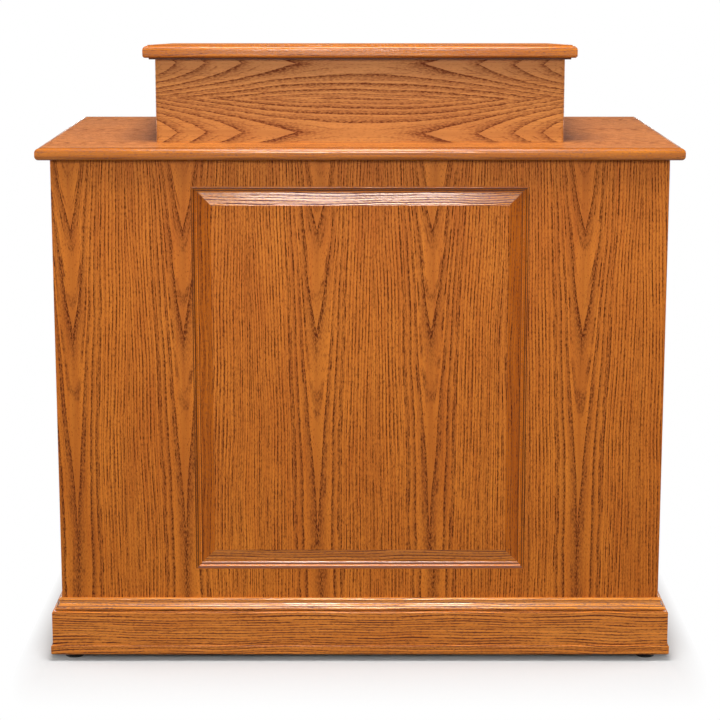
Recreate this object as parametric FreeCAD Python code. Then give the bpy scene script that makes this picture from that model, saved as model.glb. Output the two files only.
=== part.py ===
"""Wide oak lectern: a panelled body on a moulded plinth, a desk slab, and a raised reading top.

Millimetres, +Z up. The origin is on the floor under the middle of the desk. The panelled front
faces -Y, and the speaker stands on the open +Y side. Left is -X.
"""
import FreeCAD
import Part
import math
import os

V = FreeCAD.Vector

# Desk slab
desk_width = 1219.0
desk_depth = 711.0
desk_height = 1008.0          # top face above the floor
desk_thickness = 24.0
desk_overhang = 25.0          # past the body on all four sides
desk_edge_width = 12.0        # solid moulded strip round the veneered board
desk_top_round = 8.0
desk_bottom_round = 8.0
desk_step_height = 1.5        # small step where the rounded edge meets the top face
desk_step_inset = 9.0

# Riser and its sloping lid
riser_front_setback = 110.0   # riser faces inside the desk's edges
riser_side_setback = 218.5
riser_back_setback = 83.0
riser_height = 158.0          # at the front, under the lid
riser_thickness = 19.0
riser_corner_round = 5.0
lid_slope = 2.5               # degrees, falling towards the speaker
lid_overhang = 21.5
lid_thickness = 27.5
lid_edge_width = 14.0
lid_top_round = 8.0
lid_bottom_round = 5.0
lid_top_step_height = 2.0
lid_top_step_inset = 9.0
lid_bottom_step_height = 3.0
lid_bottom_step_inset = 11.0

# Front frame and its raised panel
frame_thickness = 22.0
body_corner_round = 3.5       # upright front corners of the body
arris_round = 2.0             # eased edges of the lippings, the back rail and the riser
stile_width = 264.5
top_rail_height = 51.0
bottom_rail_height = 109.0    # its lower part is behind the base cap and the plinth
moulding_width = 12.0         # panel moulding, across its face
moulding_depth = 14.0         # from the frame's face down to the panel's ledge
moulding_foot_width = 3.4     # sloping foot of the moulding, next to the bevel
moulding_foot_height = 2.0    # foot's inner edge above the ledge
moulding_foot_rise = 1.2
quirk_width = 1.2             # groove between the frame and the bead
quirk_depth = 1.6
bead_radius = 1.5
bead_drop = 1.4               # step from the bead down to the ovolo
ovolo_sagitta = 1.3
bevel_width = 25.0
bevel_rise = 7.0              # from the ledge up to the field
bevel_groove = 1.3            # gap between the moulding's foot and the bevel's shoulder
bevel_shoulder = 1.0
panel_thickness = 20.0
panel_lap = 12.0              # flange of the bevel strips behind the frame

# Carcass
side_thickness = 19.0
lipping_thickness = 6.0
floor_thickness = 19.0
back_rail_height = 60.0
back_rail_thickness = 19.0
batten_size = 20.0            # square battens and cleats
cleat_margin = 12.0           # riser cleats stop this short of the riser's ends

# Adjustable shelf on spade pins
shelf_height = 547.0          # top face above the floor
shelf_thickness = 19.0
nosing_depth = 12.0
nosing_round = 4.0
shelf_setback = 34.0          # nosing inside the open back
shelf_end_gap = 1.0
shelf_front_gap = 0.5
pin_radius = 2.5
pin_depth = 9.0               # pin inside the side board
pin_tongue_length = 14.0
pin_width = 12.0
pin_plate = 2.0
pin_tab_height = 12.0
pin_inset = 60.0              # pins in from the shelf's front and back edges
pin_row_step = 32.0
pin_rows_each_way = 2         # spare holes above and below the pins

# Base frame, plinth boards and base cap moulding
base_rail_width = 40.0
base_rail_height = 60.0
plinth_height = 87.0
plinth_thickness = 18.0
plinth_round = 2.5
band_height = 19.0            # proud band along the plinth's foot
band_projection = 3.2
band_round = 2.0
band_foot_round = 4.5
cap_height = 24.5
cap_projection = 12.8
cap_nose_radius = 3.6
cap_bead_radius = 2.6
cap_bead_projection = 6.2
cap_undercut_height = 1.4     # recess under the nose
cap_undercut_depth = 5.0
cap_step = 0.8                # small steps beside the nose and the bead
cap_cove_sagitta = 1.8

# Levelling feet
pad_radius = 19.0
pad_height = 7.5
pad_rim_height = 2.6
pad_rim_round = 0.8
pad_crown_radius = 10.0
pad_crown_sagitta = 0.9
stud_radius = 4.0
stud_length = 30.0            # above the collar
stud_chamfer = 1.0
collar_flats = 13.0           # hexagon across its flats
collar_height = 3.7
spigot_radius = 3.0
spigot_length = 3.3
insert_radius = 6.0
insert_length = 18.0
insert_flange_radius = 9.0
insert_flange = 1.5
foot_inset = 20.0             # foot centres inside the body's faces

# Screws and dowels
screw_radius = 2.0
screw_length = 32.0
screw_head_radius = 4.0
screw_head_height = 2.4
screw_head_round = 1.2
screw_end_inset = 60.0        # outer screws in from the ends of a cleat
screws_per_cleat = 3
dowel_radius = 4.0
dowel_length = 40.0
dowel_edge = 13.0             # dowel centres in from a rail's edges

# Clearances
screw_clearance = 0.1
dowel_clearance = 0.05
pin_clearance = 0.05
stud_clearance = 0.05
insert_clearance = 0.05
foot_rest_gap = 0.3           # collar to insert flange with the foot screwed home
hole_end_gap = 1.0            # past the end of a screw, dowel, pin or insert
spigot_end_gap = 0.2
stud_end_gap = 2.0
tool_overshoot = 1.0          # cutting shapes run past the faces that they cut

# Levels and faces that follow from the sizes above
plinth_z = pad_height + collar_height + foot_rest_gap + insert_flange
plinth_top_z = plinth_z + plinth_height
rail_top_z = plinth_z + base_rail_height
floor_top_z = rail_top_z + floor_thickness
desk_under_z = desk_height - desk_thickness
opening_top_z = desk_under_z - top_rail_height
opening_z = rail_top_z + bottom_rail_height
cleat_under_z = desk_under_z - batten_size
half_body = desk_width / 2 - desk_overhang
half_depth = desk_depth / 2 - desk_overhang
front_y = -half_depth
back_y = half_depth
frame_back_y = front_y + frame_thickness
half_inside = half_body - side_thickness
half_opening = half_body - stile_width
field_depth = moulding_depth - bevel_rise
panel_back_depth = field_depth + panel_thickness
riser_front_y = riser_front_setback - desk_depth / 2
riser_back_y = desk_depth / 2 - riser_back_setback
riser_depth = riser_back_y - riser_front_y
riser_inner_y = riser_front_y + riser_thickness
half_riser = desk_width / 2 - riser_side_setback
half_riser_inside = half_riser - riser_thickness
slope = math.radians(lid_slope)
lid_length = riser_depth / math.cos(slope) + 2 * lid_overhang
shelf_under_z = shelf_height - shelf_thickness
shelf_front_y = frame_back_y + batten_size + shelf_front_gap
shelf_back_y = back_y - shelf_setback
pin_z = shelf_under_z - pin_tab_height / 2
pin_places_y = (shelf_front_y + pin_inset, shelf_back_y - pin_inset)

# The lid lies on this plane: its local origin is on the riser's front face, at the underside
lid_place = FreeCAD.Placement(V(0, riser_front_y, desk_height + riser_height),
                              FreeCAD.Rotation(V(1, 0, 0), -lid_slope))

LEFT_AND_RIGHT = {"left": -1, "right": 1}
UP = V(0, 0, 1)
FORWARD = V(0, -1, 0)


def box(x0, x1, y0, y1, z0, z1):
    return Part.makeBox(x1 - x0, y1 - y0, z1 - z0, V(x0, y0, z0))


def sided_box(side, x0, x1, y0, y1, z0, z1):
    """Box given for the right-hand side, mirrored to the left where side is -1."""
    return box(min(side * x0, side * x1), max(side * x0, side * x1), y0, y1, z0, z1)


def arc(u, v, radius, start, end):
    """Outline step round a centre between two angles in degrees."""
    points = []
    for angle in ((start + end) / 2, end):
        turn = math.radians(angle)
        points.append((u + radius * math.cos(turn), v + radius * math.sin(turn)))
    return tuple(points)


def bow(start, end, sagitta):
    """Outline step from start to end, bowed to the left of its chord."""
    du, dv = end[0] - start[0], end[1] - start[1]
    chord = math.hypot(du, dv)
    middle_u = (start[0] + end[0]) / 2 - sagitta * dv / chord
    middle_v = (start[1] + end[1]) / 2 + sagitta * du / chord
    return ((middle_u, middle_v), end)


def outline(*steps):
    """Closed face in the local u, v plane. A point draws a line to it, and a pair of points an arc."""
    here = V(0, *steps[0])
    edges = []
    for step in steps[1:] + steps[:1]:
        if isinstance(step[0], tuple):
            middle, end = (V(0, *point) for point in step)
            edges.append(Part.Arc(here, middle, end).toShape())
        else:
            end = V(0, *step)
            if not end.isEqual(here, 1e-6):
                edges.append(Part.makeLine(here, end))
        here = end
    return Part.Face(Part.Wire(edges))


def turned(face):
    """Solid of revolution about the local v axis."""
    return face.revolve(V(0, 0, 0), UP, 360)


def strip(face, half, start_mitre, end_mitre):
    """Length of a profile along the local t axis. An end is square (0) or mitred outwards (1) or in (-1)."""
    low_u = face.BoundBox.YMin - tool_overshoot
    high_u = face.BoundBox.YMax + tool_overshoot
    low_v = face.BoundBox.ZMin - tool_overshoot
    reach = half + max(abs(low_u), abs(high_u)) + tool_overshoot
    bar = face.copy()
    bar.translate(V(-reach, 0, 0))
    bar = bar.extrude(V(2 * reach, 0, 0))
    corners = [V(-half - start_mitre * low_u, low_u, low_v), V(half + end_mitre * low_u, low_u, low_v),
               V(half + end_mitre * high_u, high_u, low_v), V(-half - start_mitre * high_u, high_u, low_v)]
    keep = Part.Face(Part.makePolygon(corners + corners[:1]))
    keep = keep.extrude(V(0, 0, face.BoundBox.ZLength + 2 * tool_overshoot))
    return bar.common(keep).Solids[0]


def placed(shape, origin, u_axis, v_axis):
    """Shape moved so that its local u and v follow the given axes."""
    t_axis = u_axis.cross(v_axis)
    rows = []
    for name in ("x", "y", "z"):
        rows += [getattr(axis, name) for axis in (t_axis, u_axis, v_axis, origin)]
    moved = shape.copy()
    moved.transformShape(FreeCAD.Matrix(*rows, 0, 0, 0, 1))
    return moved


def ring(face, spans, normal, outward):
    """Four mitred lengths of a profile round a rectangle.

    A span is a side's middle, its direction and half its length.
    """
    pieces = {}
    for name, (middle, way, half) in spans.items():
        pieces[name] = placed(strip(face, half, outward, outward), middle, way * outward, normal)
    return pieces


def flat_spans(half_x, low_y, high_y, z):
    middle_y = (low_y + high_y) / 2
    half_y = (high_y - low_y) / 2
    return {"front": (V(0, low_y, z), V(0, -1, 0), half_x), "back": (V(0, high_y, z), V(0, 1, 0), half_x),
            "left": (V(-half_x, middle_y, z), V(-1, 0, 0), half_y),
            "right": (V(half_x, middle_y, z), V(1, 0, 0), half_y)}


def upright_spans(half_x, low_z, high_z, y):
    middle_z = (low_z + high_z) / 2
    half_z = (high_z - low_z) / 2
    return {"top": (V(0, y, high_z), V(0, 0, 1), half_x), "bottom": (V(0, y, low_z), V(0, 0, -1), half_x),
            "left": (V(-half_x, y, middle_z), V(-1, 0, 0), half_z),
            "right": (V(half_x, y, middle_z), V(1, 0, 0), half_z)}


def eased(shape, radius, *corners):
    """Shape with the edges rounded whose middles lie nearest to the given points."""
    edges = []
    for corner in corners:
        edges.append(min(shape.Edges, key=lambda edge: edge.BoundBox.Center.distanceToPoint(corner)))
    return shape.makeFillet(radius, edges)


def on_lid(shape):
    """Shape drawn flat on the lid's own plane, tilted to its place."""
    moved = shape.copy()
    moved.transformShape(lid_place.toMatrix())
    return moved


def spread(low, high, count):
    step = (high - low) / (count - 1)
    return [low + step * number for number in range(count)]


def cut_all(shape, tools):
    return shape.cut(Part.makeCompound(tools)).Solids[0] if tools else shape


def dowel_places():
    """Middle and direction of every dowel: two at each end of a front rail, one in each base corner."""
    frame_middle_y = front_y + frame_thickness / 2
    rail_levels = (opening_top_z + dowel_edge, desk_under_z - dowel_edge,
                   rail_top_z + dowel_edge, opening_z - dowel_edge)
    places = [(V(side * half_opening, frame_middle_y, z), V(1, 0, 0))
              for side in LEFT_AND_RIGHT.values() for z in rail_levels]
    rail_x = half_body - base_rail_width / 2
    rail_y = half_depth - base_rail_width
    places += [(V(side * rail_x, end * rail_y, rail_top_z - dowel_edge), V(0, 1, 0))
               for side in LEFT_AND_RIGHT.values() for end in (-1, 1)]
    return places


def dowel(middle, along, radius, length):
    return Part.makeCylinder(radius, length, middle - along * (length / 2), along)


dowels = [dowel(middle, along, dowel_radius, dowel_length) for middle, along in dowel_places()]
dowel_holes = [dowel(middle, along, dowel_radius + dowel_clearance, dowel_length + 2 * hole_end_gap)
               for middle, along in dowel_places()]


def desk_cleat_boxes():
    """Cleats under the desk: along the two sides and behind the front frame."""
    back = back_y - back_rail_thickness
    inner = half_inside - batten_size
    cleats = [sided_box(side, inner, half_inside, frame_back_y, back, cleat_under_z, desk_under_z)
              for side in LEFT_AND_RIGHT.values()]
    cleats.append(box(-inner, inner, frame_back_y, frame_back_y + batten_size, cleat_under_z, desk_under_z))
    return cleats


def riser_cleat_boxes():
    """Cleats on the desk inside the riser: along the two sides and behind the front board."""
    inner = half_riser_inside - batten_size
    top = desk_height + batten_size
    back = riser_back_y - cleat_margin
    cleats = [sided_box(side, inner, half_riser_inside, riser_inner_y, back, desk_height, top)
              for side in LEFT_AND_RIGHT.values()]
    cleats.append(box(-inner, inner, riser_inner_y, riser_inner_y + batten_size, desk_height, top))
    return cleats


def lid_cleat_boxes():
    """Cleats under the lid along the riser's sides, drawn flat on the lid's plane."""
    front = riser_thickness + cleat_margin
    back = riser_depth - cleat_margin
    return [sided_box(side, half_riser_inside - batten_size, half_riser_inside, front, back, -batten_size, 0)
            for side in LEFT_AND_RIGHT.values()]


def cleat_seats(cleat, z):
    """Points for the screw heads along the middle of a cleat's longer side."""
    room = cleat.BoundBox
    middle = room.Center
    if room.XLength > room.YLength:
        row = spread(room.XMin + screw_end_inset, room.XMax - screw_end_inset, screws_per_cleat)
        return [V(x, middle.y, z) for x in row]
    row = spread(room.YMin + screw_end_inset, room.YMax - screw_end_inset, screws_per_cleat)
    return [V(middle.x, y, z) for y in row]


def screw_places(cleats, z, along):
    return [(seat, along) for cleat in cleats for seat in cleat_seats(cleat, z)]


desk_screws = screw_places(desk_cleat_boxes(), cleat_under_z, UP)
riser_screws = screw_places(riser_cleat_boxes(), desk_height + batten_size, -UP)
lid_screws = screw_places(lid_cleat_boxes(), -batten_size, UP)


def screw(seat, along):
    shank_end = screw_length - 2 * screw_radius
    profile = outline((0, -screw_length), (screw_radius, -shank_end), (screw_radius, 0), (screw_head_radius, 0),
                      (screw_head_radius, screw_head_height - screw_head_round),
                      arc(screw_head_radius - screw_head_round, screw_head_height - screw_head_round,
                          screw_head_round, 0, 90),
                      (0, screw_head_height))
    solid = turned(profile)
    solid.Placement = FreeCAD.Placement(seat, FreeCAD.Rotation(-UP, along))
    return solid


def screw_hole(seat, along):
    start = seat - along * tool_overshoot
    length = screw_length + hole_end_gap + tool_overshoot
    return Part.makeCylinder(screw_radius + screw_clearance, length, start, along)


def screw_holes(places):
    return [screw_hole(seat, along) for seat, along in places]


def front_frame():
    nodes = {}
    for name, side in LEFT_AND_RIGHT.items():
        stile = sided_box(side, half_opening, half_body, front_y, frame_back_y, rail_top_z, desk_under_z)
        corner = V(side * half_body, front_y, (rail_top_z + desk_under_z) / 2)
        nodes[name + "_stile"] = cut_all(eased(stile, body_corner_round, corner), dowel_holes)
    for name, low, high in (("top", opening_top_z, desk_under_z), ("bottom", rail_top_z, opening_z)):
        rail = box(-half_opening, half_opening, front_y, frame_back_y, low, high)
        nodes[name + "_rail"] = cut_all(rail, dowel_holes)
    nodes["dowels"] = dowels
    return nodes


def panel_moulding_profile():
    """Across the face (u, inwards from the opening's edge) and in depth (v, 0 at the frame's face)."""
    bead_u = quirk_width + bead_radius
    ovolo_top = (bead_u + bead_radius, -quirk_depth - bead_drop)
    foot_edge = moulding_foot_height - moulding_depth
    foot = (moulding_width - moulding_foot_width, foot_edge + moulding_foot_rise)
    return outline((0, -moulding_depth), (0, -quirk_depth), (quirk_width, -quirk_depth),
                   arc(bead_u, -quirk_depth, bead_radius, 180, 0), ovolo_top,
                   bow(ovolo_top, foot, ovolo_sagitta), (moulding_width, foot_edge),
                   (moulding_width, -moulding_depth))


def panel_bevel_profile():
    """A flange behind the frame, a ledge under the moulding, a groove, a shoulder and the bevel."""
    groove_u = moulding_width + bevel_groove
    inner = moulding_width + bevel_width
    return outline((-panel_lap, -frame_thickness), (0, -frame_thickness), (0, -moulding_depth),
                   (groove_u, -moulding_depth), (groove_u, bevel_shoulder - moulding_depth),
                   (inner, -field_depth), (inner, -panel_back_depth), (-panel_lap, -panel_back_depth))


def raised_panel():
    nodes = {}
    spans = upright_spans(half_opening, opening_z, opening_top_z, front_y)
    for name, piece in ring(panel_moulding_profile(), spans, FORWARD, -1).items():
        nodes["panel_moulding_" + name] = piece
    for name, piece in ring(panel_bevel_profile(), spans, FORWARD, -1).items():
        nodes["panel_bevel_" + name] = piece
    border = moulding_width + bevel_width
    nodes["panel_field"] = box(border - half_opening, half_opening - border, front_y + field_depth,
                               front_y + panel_back_depth, opening_z + border, opening_top_z - border)
    return nodes


def pin_holes(side):
    rows = range(-pin_rows_each_way, pin_rows_each_way + 1)
    return [Part.makeCylinder(pin_radius + pin_clearance, pin_depth + hole_end_gap + tool_overshoot,
                              V(side * (half_inside - tool_overshoot), y, pin_z + row * pin_row_step),
                              V(side, 0, 0))
            for y in pin_places_y for row in rows]


def carcass():
    nodes = {}
    lipping_y = back_y - lipping_thickness
    lippings = []
    battens = []
    for name, side in LEFT_AND_RIGHT.items():
        board = sided_box(side, half_inside, half_body, frame_back_y, lipping_y, rail_top_z, desk_under_z)
        nodes[name + "_side"] = cut_all(board, pin_holes(side))
        lipping = sided_box(side, half_inside, half_body, lipping_y, back_y, rail_top_z, desk_under_z)
        middle_z = (rail_top_z + desk_under_z) / 2
        lippings.append(eased(lipping, arris_round, V(side * half_body, back_y, middle_z)))
        battens.append(sided_box(side, half_inside - batten_size, half_inside, frame_back_y,
                                 frame_back_y + batten_size, floor_top_z, cleat_under_z))
    nodes["side_lippings"] = lippings
    nodes["corner_battens"] = battens
    nodes["floor_board"] = box(-half_inside, half_inside, frame_back_y, lipping_y, rail_top_z, floor_top_z)
    nodes["floor_lipping"] = box(-half_inside, half_inside, lipping_y, back_y, rail_top_z, floor_top_z)
    back_rail_z = desk_under_z - back_rail_height
    back_rail = box(-half_inside, half_inside, back_y - back_rail_thickness, back_y, back_rail_z, desk_under_z)
    nodes["back_top_rail"] = eased(back_rail, arris_round, V(0, back_y, back_rail_z))
    nodes["desk_cleats"] = [cut_all(cleat, screw_holes(desk_screws)) for cleat in desk_cleat_boxes()]
    return nodes


def shelf():
    half = half_inside - shelf_end_gap
    board_back = shelf_back_y - nosing_depth
    nosing = box(-half, half, board_back, shelf_back_y, shelf_under_z, shelf_height)
    pins = []
    for side in LEFT_AND_RIGHT.values():
        for y in pin_places_y:
            low_y, high_y = y - pin_width / 2, y + pin_width / 2
            tongue = sided_box(side, half_inside - pin_tongue_length, half_inside, low_y, high_y,
                               shelf_under_z - pin_plate, shelf_under_z)
            tab = sided_box(side, half_inside - pin_plate, half_inside, low_y, high_y,
                            shelf_under_z - pin_tab_height, shelf_under_z)
            pin = Part.makeCylinder(pin_radius, pin_depth + pin_plate,
                                    V(side * (half_inside - pin_plate), y, pin_z), V(side, 0, 0))
            pins.append(tongue.multiFuse([tab, pin]).removeSplitter().Solids[0])
    return {"shelf_board": box(-half, half, shelf_front_y, board_back, shelf_under_z, shelf_height),
            "shelf_nosing": eased(nosing, nosing_round, V(0, shelf_back_y, shelf_under_z),
                                  V(0, shelf_back_y, shelf_height)),
            "shelf_pins": pins}


def desk_edge_profile():
    shoulder = desk_thickness - desk_step_height
    return outline((0, 0), (desk_edge_width - desk_bottom_round, 0),
                   arc(desk_edge_width - desk_bottom_round, desk_bottom_round, desk_bottom_round, -90, 0),
                   (desk_edge_width, shoulder - desk_top_round),
                   arc(desk_edge_width - desk_top_round, shoulder - desk_top_round, desk_top_round, 0, 90),
                   (desk_edge_width - desk_step_inset, shoulder),
                   (desk_edge_width - desk_step_inset, desk_thickness), (0, desk_thickness))


def desk():
    half_x = desk_width / 2 - desk_edge_width
    half_y = desk_depth / 2 - desk_edge_width
    holes = screw_holes(desk_screws + riser_screws)
    board = box(-half_x, half_x, -half_y, half_y, desk_under_z, desk_height)
    nodes = {"desk_board": cut_all(board, holes)}
    spans = flat_spans(half_x, -half_y, half_y, desk_under_z)
    for name, piece in ring(desk_edge_profile(), spans, UP, 1).items():
        nodes["desk_edge_" + name] = cut_all(piece, holes)
    return nodes


def under_lid(shape):
    """Shape cut off at the lid's sloping underside."""
    reach = desk_width + desk_depth
    above = on_lid(box(-reach, reach, -reach, reach, 0, reach))
    return shape.cut(above).Solids[0]


def riser():
    top = desk_height + riser_height + riser_thickness
    front = box(-half_riser, half_riser, riser_front_y, riser_inner_y, desk_height, top)
    middle_z = (desk_height + top) / 2
    front = eased(front, riser_corner_round, *(V(side * half_riser, riser_front_y, middle_z)
                                               for side in LEFT_AND_RIGHT.values()))
    nodes = {"riser_front": under_lid(front)}
    for name, side in LEFT_AND_RIGHT.items():
        board = sided_box(side, half_riser_inside, half_riser, riser_inner_y, riser_back_y, desk_height, top)
        board = eased(board, arris_round, V(side * half_riser, riser_back_y, middle_z),
                      V(side * half_riser_inside, riser_back_y, middle_z))
        nodes["riser_" + name] = under_lid(board)
    lower = [cut_all(cleat, screw_holes(riser_screws)) for cleat in riser_cleat_boxes()]
    upper = [on_lid(cut_all(cleat, screw_holes(lid_screws))) for cleat in lid_cleat_boxes()]
    nodes["riser_cleats"] = lower + upper
    return nodes


def lid_edge_profile():
    foot = lid_bottom_step_height
    shoulder = lid_thickness - lid_top_step_height
    return outline((0, 0), (lid_edge_width - lid_bottom_step_inset, 0),
                   (lid_edge_width - lid_bottom_step_inset, foot), (lid_edge_width - lid_bottom_round, foot),
                   arc(lid_edge_width - lid_bottom_round, foot + lid_bottom_round, lid_bottom_round, -90, 0),
                   (lid_edge_width, shoulder - lid_top_round),
                   arc(lid_edge_width - lid_top_round, shoulder - lid_top_round, lid_top_round, 0, 90),
                   (lid_edge_width - lid_top_step_inset, shoulder),
                   (lid_edge_width - lid_top_step_inset, lid_thickness), (0, lid_thickness))


def lid():
    half_x = half_riser + lid_overhang - lid_edge_width
    low_y = lid_edge_width - lid_overhang
    high_y = lid_length - lid_overhang - lid_edge_width
    holes = screw_holes(lid_screws)
    board = box(-half_x, half_x, low_y, high_y, 0, lid_thickness)
    nodes = {"lid_board": on_lid(cut_all(board, holes))}
    for name, piece in ring(lid_edge_profile(), flat_spans(half_x, low_y, high_y, 0), UP, 1).items():
        nodes["lid_edge_" + name] = on_lid(cut_all(piece, holes))
    return nodes


def wood_screws():
    solids = [screw(seat, along) for seat, along in desk_screws + riser_screws]
    solids += [on_lid(screw(seat, along)) for seat, along in lid_screws]
    return {"wood_screws": solids}


def plinth_profile():
    rounding = min(band_round, band_projection)
    band_u = plinth_thickness + band_projection
    band_top = plinth_z + band_height
    return outline((0, plinth_z), (band_u - band_foot_round, plinth_z),
                   arc(band_u - band_foot_round, plinth_z + band_foot_round, band_foot_round, -90, 0),
                   (band_u, band_top - rounding),
                   arc(band_u - rounding, band_top - rounding, rounding, 0, 90), (plinth_thickness, band_top),
                   (plinth_thickness, plinth_top_z - plinth_round),
                   arc(plinth_thickness - plinth_round, plinth_top_z - plinth_round, plinth_round, 0, 90),
                   (0, plinth_top_z))


def base_cap_profile():
    """From the foot up: a recess under the nose, the nose, a cove and a bead."""
    recess_u = cap_projection - cap_undercut_depth
    nose_u = cap_projection - cap_nose_radius
    nose_v = plinth_top_z + cap_undercut_height + cap_nose_radius
    bead_u = cap_bead_projection - cap_bead_radius
    bead_v = plinth_top_z + cap_height - cap_step - cap_bead_radius
    cove_foot = (nose_u - cap_step, nose_v + cap_nose_radius)
    cove_head = (bead_u + cap_step, bead_v - cap_bead_radius)
    return outline((0, plinth_top_z), (recess_u, plinth_top_z), (recess_u, nose_v - cap_nose_radius),
                   (nose_u, nose_v - cap_nose_radius), arc(nose_u, nose_v, cap_nose_radius, -90, 90), cove_foot,
                   bow(cove_foot, cove_head, cap_cove_sagitta), (bead_u, cove_head[1]),
                   arc(bead_u, bead_v, cap_bead_radius, -90, 90), (bead_u, plinth_top_z + cap_height),
                   (0, plinth_top_z + cap_height))


def base_mouldings():
    """Plinth boards and cap: mitred at the front corners, cut square at the open back."""
    nodes = {}
    for kind, face in (("plinth_", plinth_profile()), ("base_cap_", base_cap_profile())):
        nodes[kind + "front"] = placed(strip(face, half_body, 1, 1), V(0, front_y, 0), V(0, -1, 0), UP)
        nodes[kind + "left"] = placed(strip(face, half_depth, 1, 0), V(-half_body, 0, 0), V(-1, 0, 0), UP)
        nodes[kind + "right"] = placed(strip(face, half_depth, 0, 1), V(half_body, 0, 0), V(1, 0, 0), UP)
    return nodes


def foot_places():
    places = {}
    for end, y in (("front", front_y + foot_inset), ("back", back_y - foot_inset)):
        for name, side in LEFT_AND_RIGHT.items():
            places[end + "_" + name] = V(side * (half_body - foot_inset), y, 0)
    return places


def foot_bore(place):
    """Hole in a base rail for the insert, with room above it for the stud's end."""
    insert_depth = insert_length + hole_end_gap + tool_overshoot
    insert_room = Part.makeCylinder(insert_radius + insert_clearance, insert_depth,
                                    V(place.x, place.y, plinth_z - tool_overshoot))
    stud_top = pad_height + collar_height + stud_length
    stud_room = Part.makeCylinder(stud_radius + hole_end_gap, stud_top + stud_end_gap - plinth_z,
                                  V(place.x, place.y, plinth_z))
    return insert_room.fuse(stud_room)


def base_frame():
    holes = dowel_holes + [foot_bore(place) for place in foot_places().values()]
    inner_y = half_depth - base_rail_width
    rails = {"front": box(-half_body, half_body, front_y, -inner_y, plinth_z, rail_top_z),
             "back": box(-half_body, half_body, inner_y, back_y, plinth_z, rail_top_z)}
    for name, side in LEFT_AND_RIGHT.items():
        rails[name] = sided_box(side, half_body - base_rail_width, half_body, -inner_y, inner_y,
                                plinth_z, rail_top_z)
    return {"base_rail_" + name: cut_all(rail, holes) for name, rail in rails.items()}


def foot_pad():
    socket_radius = spigot_radius + stud_clearance
    socket_z = pad_height - spigot_length - spigot_end_gap
    rim = (pad_radius, pad_rim_height)
    crown = (pad_crown_radius, pad_height)
    return turned(outline((0, 0), (pad_radius - pad_rim_round, 0),
                          arc(pad_radius - pad_rim_round, pad_rim_round, pad_rim_round, -90, 0),
                          rim, bow(rim, crown, -pad_crown_sagitta), (socket_radius, pad_height),
                          (socket_radius, socket_z), (0, socket_z)))


def foot_stud():
    shank_z = pad_height + collar_height
    top = shank_z + stud_length
    shank = turned(outline((0, shank_z), (stud_radius, shank_z), (stud_radius, top - stud_chamfer),
                           (stud_radius - stud_chamfer, top), (0, top)))
    spigot = Part.makeCylinder(spigot_radius, spigot_length, V(0, 0, pad_height - spigot_length))
    corner_radius = collar_flats / 2 / math.cos(math.pi / 6)
    corners = [V(corner_radius * math.cos(turn), corner_radius * math.sin(turn), pad_height)
               for turn in (math.pi / 3 * number for number in range(7))]
    collar = Part.Face(Part.makePolygon(corners)).extrude(V(0, 0, collar_height))
    return collar.multiFuse([shank, spigot]).Solids[0]


def foot_insert():
    bore = stud_radius + stud_clearance
    return turned(outline((bore, plinth_z - insert_flange), (insert_flange_radius, plinth_z - insert_flange),
                          (insert_flange_radius, plinth_z), (insert_radius, plinth_z),
                          (insert_radius, plinth_z + insert_length), (bore, plinth_z + insert_length)))


def feet():
    nodes = {"foot_inserts": [foot_insert().translated(place) for place in foot_places().values()]}
    for name, place in foot_places().items():
        nodes["foot_pad_" + name] = foot_pad().translated(place)
        nodes["foot_stud_" + name] = foot_stud().translated(place)
    return nodes


os.makedirs("parts", exist_ok=True)
for section in (front_frame, raised_panel, carcass, shelf, desk, riser, lid, wood_screws, base_mouldings,
                base_frame, feet):
    for node, solids in section().items():
        shape = Part.makeCompound(solids) if isinstance(solids, list) else solids
        shape.exportStep(os.path.join("parts", node + ".step"))
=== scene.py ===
import math

import bpy
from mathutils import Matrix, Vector


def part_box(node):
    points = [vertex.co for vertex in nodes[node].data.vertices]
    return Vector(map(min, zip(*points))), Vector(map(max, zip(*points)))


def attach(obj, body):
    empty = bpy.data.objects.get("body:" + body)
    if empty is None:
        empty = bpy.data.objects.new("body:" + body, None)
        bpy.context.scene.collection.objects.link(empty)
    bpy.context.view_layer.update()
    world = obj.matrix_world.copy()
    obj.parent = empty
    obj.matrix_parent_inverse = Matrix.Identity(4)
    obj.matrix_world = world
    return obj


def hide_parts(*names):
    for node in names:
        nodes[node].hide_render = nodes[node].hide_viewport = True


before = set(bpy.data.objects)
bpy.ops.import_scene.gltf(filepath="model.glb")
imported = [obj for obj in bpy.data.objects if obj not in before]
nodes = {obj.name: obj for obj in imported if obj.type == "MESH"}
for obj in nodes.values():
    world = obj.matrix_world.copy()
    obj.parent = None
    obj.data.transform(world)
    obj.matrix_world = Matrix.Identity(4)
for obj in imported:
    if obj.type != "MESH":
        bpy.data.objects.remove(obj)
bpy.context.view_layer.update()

# A wide lectern in golden lacquered oak, seen from the congregation's side.

MM = 0.001

# Camera: straight in front of the lectern, a little above the lid, looking down.
CAMERA_PLACE = (0.0, -4.3325, 1.398)
CAMERA_TILT_DEG = 78.71
CAMERA_LENS_MM = 106.39
CAMERA_SENSOR_MM = 36.0

# Lights: place, point that it faces, width, height and watts.
SOFTBOXES = {
    "front_softbox": ((0.0, -4.70, 2.30), (0.0, -0.33, 0.75), 0.95, 1.65, 160.0),
    "top_softbox": ((0.0, -0.90, 3.20), (0.0, -0.90, 1.00), 1.10, 1.30, 102.0),
    "back_softbox": ((0.0, 3.30, 0.60), (0.0, 0.30, 0.55), 2.20, 0.66, 110.0),
    "haze_softbox": ((0.0, 3.30, 1.60), (0.0, 0.30, 1.10), 2.40, 0.60, 1.0),
    "left_softbox": ((-4.20, 0.90, 0.95), (0.0, 0.90, 0.60), 2.20, 1.60, 95.0),
    "right_softbox": ((4.20, 0.90, 0.95), (0.0, 0.90, 0.60), 2.20, 1.60, 95.0),
}
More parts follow.
